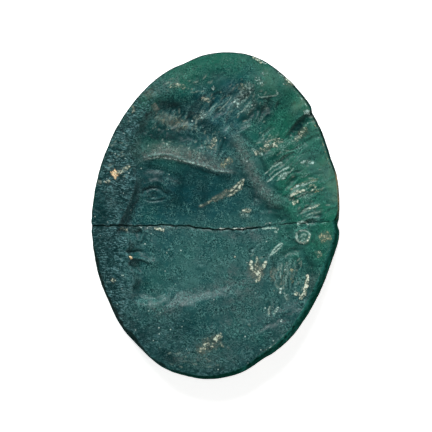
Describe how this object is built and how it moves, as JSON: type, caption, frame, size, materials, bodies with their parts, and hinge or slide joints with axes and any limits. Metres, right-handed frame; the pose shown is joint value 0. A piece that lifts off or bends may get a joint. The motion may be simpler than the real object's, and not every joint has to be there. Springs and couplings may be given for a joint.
{
  "type": "glass intaglio ringstone",
  "caption": "Oval green glass ringstone with a head in left profile sunk into its domed face, broken across and rejoined.",
  "frame": {"origin": "middle of the flat back, under the middle of the oval", "axes": "+Y along the long axis towards the crown of the head, +X to the right across the face, +Z out of the engraved face"},
  "size_m": [0.0198, 0.0262, 0.0036],
  "materials": {
    "upper_glass": "weathered translucent sea-green glass",
    "lower_glass": "weathered translucent sea-green glass"
  },
  "bodies": {
    "root": {"upper_fragment": "upper_glass", "lower_fragment": "lower_glass"}
  },
  "joints": []
}
